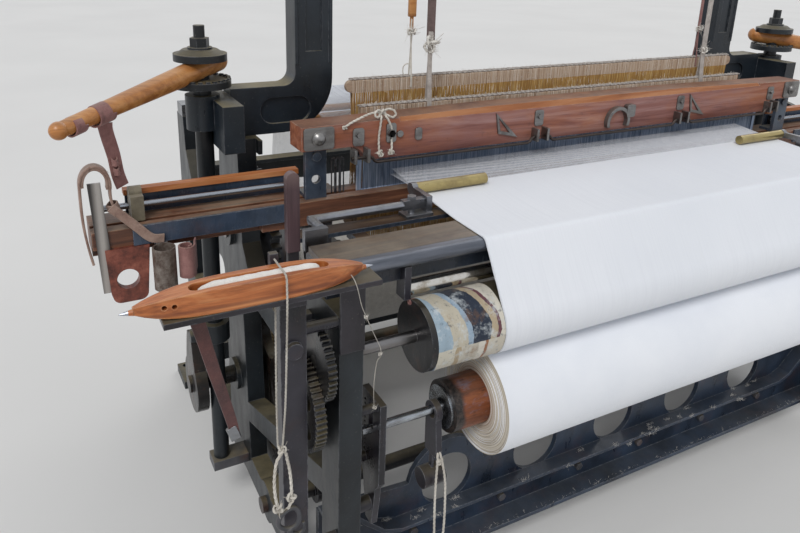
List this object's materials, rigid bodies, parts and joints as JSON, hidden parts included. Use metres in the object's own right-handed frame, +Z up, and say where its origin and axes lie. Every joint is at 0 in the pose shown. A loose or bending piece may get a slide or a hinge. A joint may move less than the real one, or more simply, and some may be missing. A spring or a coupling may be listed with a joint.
{
  "type": "power loom",
  "caption": "Overpick power loom with cast iron end frames, tall arch, slay with shuttle boxes, two healds, cloth roll, take-up gears and warp beam.",
  "frame": {"origin": "middle of the loom's footprint, on the floor", "axes": "+X along the loom to the weaver's right, +Y from the weaver to the warp beam, +Z up"},
  "size_m": [2.3294, 1.341, 1.48],
  "materials": {
    "black_iron": "dark painted casting, dusty",
    "blue_iron": "worn blue-black paint",
    "steel": "dull bright steel",
    "cap_paint": "worn reddish brown paint",
    "race_wood": "dry greased wood",
    "board_wood": "dark varnish under dust",
    "stick_wood": "honey-coloured varnish",
    "roller_wood": "red-brown varnish",
    "shuttle_wood": "orange-brown varnish",
    "heald_wood": "bare wood wrapped with yarn",
    "cord": "heald cord",
    "yarn": "cotton yarn",
    "cloth": "plain white cotton",
    "string": "soft twine",
    "leather": "dusty leather",
    "reed_steel": "blued reed wires",
    "brass": "old brass",
    "hide": "buffalo hide",
    "roller_cover": "patched roller covering"
  },
  "bodies": {
    "frame": {"frame_left": "black_iron", "frame_right": "black_iron", "top_arch": "black_iron", "front_rail": "blue_iron", "back_rail": "black_iron", "back_rest": "steel", "breast_beam": "blue_iron", "breast_board": "board_wood", "temple_arms": "steel", "roller_brackets": "black_iron", "shuttle_rest": "black_iron", "shuttle": "shuttle_wood", "shuttle_cop": "yarn", "frame_bolts": "black_iron", "lease_rods": "race_wood", "warp_sheet": "yarn", "cloth": "cloth", "beam_weights": "black_iron", "loop_string": "string", "hook_string": "string", "hanging_strap": "leather"},
    "temple_left": {"temple_roller_left": "brass"},
    "temple_right": {"temple_roller_right": "brass"},
    "handle": {"starting_handle": "black_iron"},
    "take_up": {"take_up_roller": "roller_cover"},
    "carrier": {"take_up_carrier": "black_iron"},
    "ratchet": {"ratchet_wheel": "black_iron"},
    "cloth_wind": {"cloth_roller": "roller_wood", "cloth_roll": "cloth"},
    "slay": {"slay_swords": "black_iron", "race_board": "race_wood", "slay_cap": "cap_paint", "cap_fittings": "steel", "reed": "reed_steel", "shuttle_boxes": "blue_iron", "slay_end_irons": "black_iron", "buffer_straps": "leather"},
    "guard": {"shuttle_guard": "steel"},
    "picker_l": {"picker_left": "hide"},
    "picker_r": {"picker_right": "hide"},
    "crank": {"crankshaft": "black_iron"},
    "idle_pulley": {"loose_pulley": "black_iron"},
    "arm_l": {"crank_arm_left": "black_iron"},
    "arm_r": {"crank_arm_right": "black_iron"},
    "tappets": {"tappet_shaft": "black_iron"},
    "treadle_f": {"treadle_front": "black_iron"},
    "treadle_b": {"treadle_back": "black_iron"},
    "heald_f": {"heald_staves_front": "heald_wood", "heald_cords_front": "cord"},
    "heald_b": {"heald_staves_back": "heald_wood", "heald_cords_back": "cord"},
    "roller_top": {"top_roller": "stick_wood"},
    "pick_l": {"picking_shaft_left": "black_iron", "picking_stick_left": "stick_wood", "picking_band_left": "leather"},
    "pick_r": {"picking_shaft_right": "black_iron", "picking_stick_right": "stick_wood", "picking_band_right": "leather"},
    "warp_wind": {"warp_beam": "black_iron", "beam_yarn": "yarn"}
  },
  "joints": [
    {"name": "slay_rock", "type": "hinge", "parent": "frame", "child": "slay", "pos_m": [0, -0.2015, 0.11], "axis": [1, 0, 0], "range_deg": [0, 7.6]},
    {"name": "guard_lift", "type": "hinge", "parent": "slay", "child": "guard", "pos_m": [0, -0.2585, 0.917], "axis": [1, 0, 0], "range_deg": [-60, 0]},
    {"name": "picker_left_slide", "type": "slide", "parent": "slay", "child": "picker_l", "axis": [1, 0, 0], "range_m": [0, 0.27]},
    {"name": "picker_right_slide", "type": "slide", "parent": "slay", "child": "picker_r", "axis": [-1, 0, 0], "range_m": [0, 0.27]},
    {"name": "crank_turn", "type": "hinge", "parent": "frame", "child": "crank", "pos_m": [0, 0.0075, 0.7], "axis": [1, 0, 0], "continuous": true},
    {"name": "tappet_turn", "type": "hinge", "parent": "frame", "child": "tappets", "pos_m": [0, -0.0005, 0.33], "axis": [1, 0, 0], "continuous": true},
    {"name": "arm_left_turn", "type": "hinge", "parent": "crank", "child": "arm_l", "pos_m": [-0.65, 0.046, 0.7], "axis": [1, 0, 0], "continuous": true},
    {"name": "arm_right_turn", "type": "hinge", "parent": "crank", "child": "arm_r", "pos_m": [0.65, 0.046, 0.7], "axis": [1, 0, 0], "continuous": true},
    {"name": "idle_pulley_turn", "type": "hinge", "parent": "crank", "child": "idle_pulley", "pos_m": [1.025, 0.0075, 0.7], "axis": [1, 0, 0], "continuous": true},
    {"name": "heald_front_lift", "type": "slide", "parent": "frame", "child": "heald_f", "axis": [0, 0, 1], "range_m": [0, 0.065]},
    {"name": "heald_back_lift", "type": "slide", "parent": "frame", "child": "heald_b", "axis": [0, 0, 1], "range_m": [-0.065, 0]},
    {"name": "top_roller_turn", "type": "hinge", "parent": "frame", "child": "roller_top", "pos_m": [0, -0.139, 1.413], "axis": [1, 0, 0], "range_deg": [-165.6, 0]},
    {"name": "treadle_front_turn", "type": "hinge", "parent": "frame", "child": "treadle_f", "pos_m": [-0.034, 0.3885, 0.11], "axis": [1, 0, 0], "range_deg": [-6.9, 0]},
    {"name": "treadle_back_turn", "type": "hinge", "parent": "frame", "child": "treadle_b", "pos_m": [0.034, 0.3885, 0.11], "axis": [1, 0, 0], "range_deg": [0, 7.5]},
    {"name": "pick_left_swing", "type": "hinge", "parent": "frame", "child": "pick_l", "pos_m": [-0.875, -0.0465, 0.3], "axis": [0, 0, 1], "range_deg": [0, 45]},
    {"name": "pick_right_swing", "type": "hinge", "parent": "frame", "child": "pick_r", "pos_m": [0.875, -0.0465, 0.3], "axis": [0, 0, -1], "range_deg": [0, 45]},
    {"name": "take_up_turn", "type": "hinge", "parent": "frame", "child": "take_up", "pos_m": [0, -0.5795, 0.71], "axis": [1, 0, 0], "continuous": true},
    {"name": "carrier_turn", "type": "hinge", "parent": "frame", "child": "carrier", "pos_m": [-0.849, -0.5595, 0.62842], "axis": [1, 0, 0], "continuous": true},
    {"name": "ratchet_turn", "type": "hinge", "parent": "frame", "child": "ratchet", "pos_m": [-0.849, -0.4995, 0.55348], "axis": [1, 0, 0], "continuous": true},
    {"name": "cloth_wind_turn", "type": "hinge", "parent": "frame", "child": "cloth_wind", "pos_m": [0, -0.5665, 0.54421], "axis": [1, 0, 0], "continuous": true},
    {"name": "warp_beam_turn", "type": "hinge", "parent": "frame", "child": "warp_wind", "pos_m": [0, 0.4435, 0.33], "axis": [1, 0, 0], "continuous": true},
    {"name": "handle_throw", "type": "hinge", "parent": "frame", "child": "handle", "pos_m": [-0.852, -0.5045, 0.73], "axis": [0, 1, 0], "range_deg": [-8, 8]},
    {"name": "temple_left_turn", "type": "hinge", "parent": "frame", "child": "temple_left", "pos_m": [-0.465, -0.3445, 0.8722], "axis": [1, 0, 0], "continuous": true},
    {"name": "temple_right_turn", "type": "hinge", "parent": "frame", "child": "temple_right", "pos_m": [0.465, -0.3445, 0.8722], "axis": [1, 0, 0], "continuous": true}
  ],
  "couplings": [
    {"joint": "tappet_turn", "follows": "crank_turn", "ratio": -0.5},
    {"joint": "arm_left_turn", "follows": "crank_turn", "ratio": -1},
    {"joint": "arm_right_turn", "follows": "crank_turn", "ratio": -1},
    {"joint": "heald_back_lift", "follows": "heald_front_lift", "ratio": -1},
    {"joint": "top_roller_turn", "follows": "heald_front_lift", "rad_per_m": -44.444},
    {"joint": "treadle_front_turn", "follows": "heald_front_lift", "rad_per_m": -1.818},
    {"joint": "treadle_back_turn", "follows": "heald_front_lift", "rad_per_m": 1.98},
    {"joint": "carrier_turn", "follows": "take_up_turn", "ratio": -2.5},
    {"joint": "ratchet_turn", "follows": "take_up_turn", "ratio": 8.9286},
    {"joint": "cloth_wind_turn", "follows": "take_up_turn", "ratio": -0.5952}
  ]
}
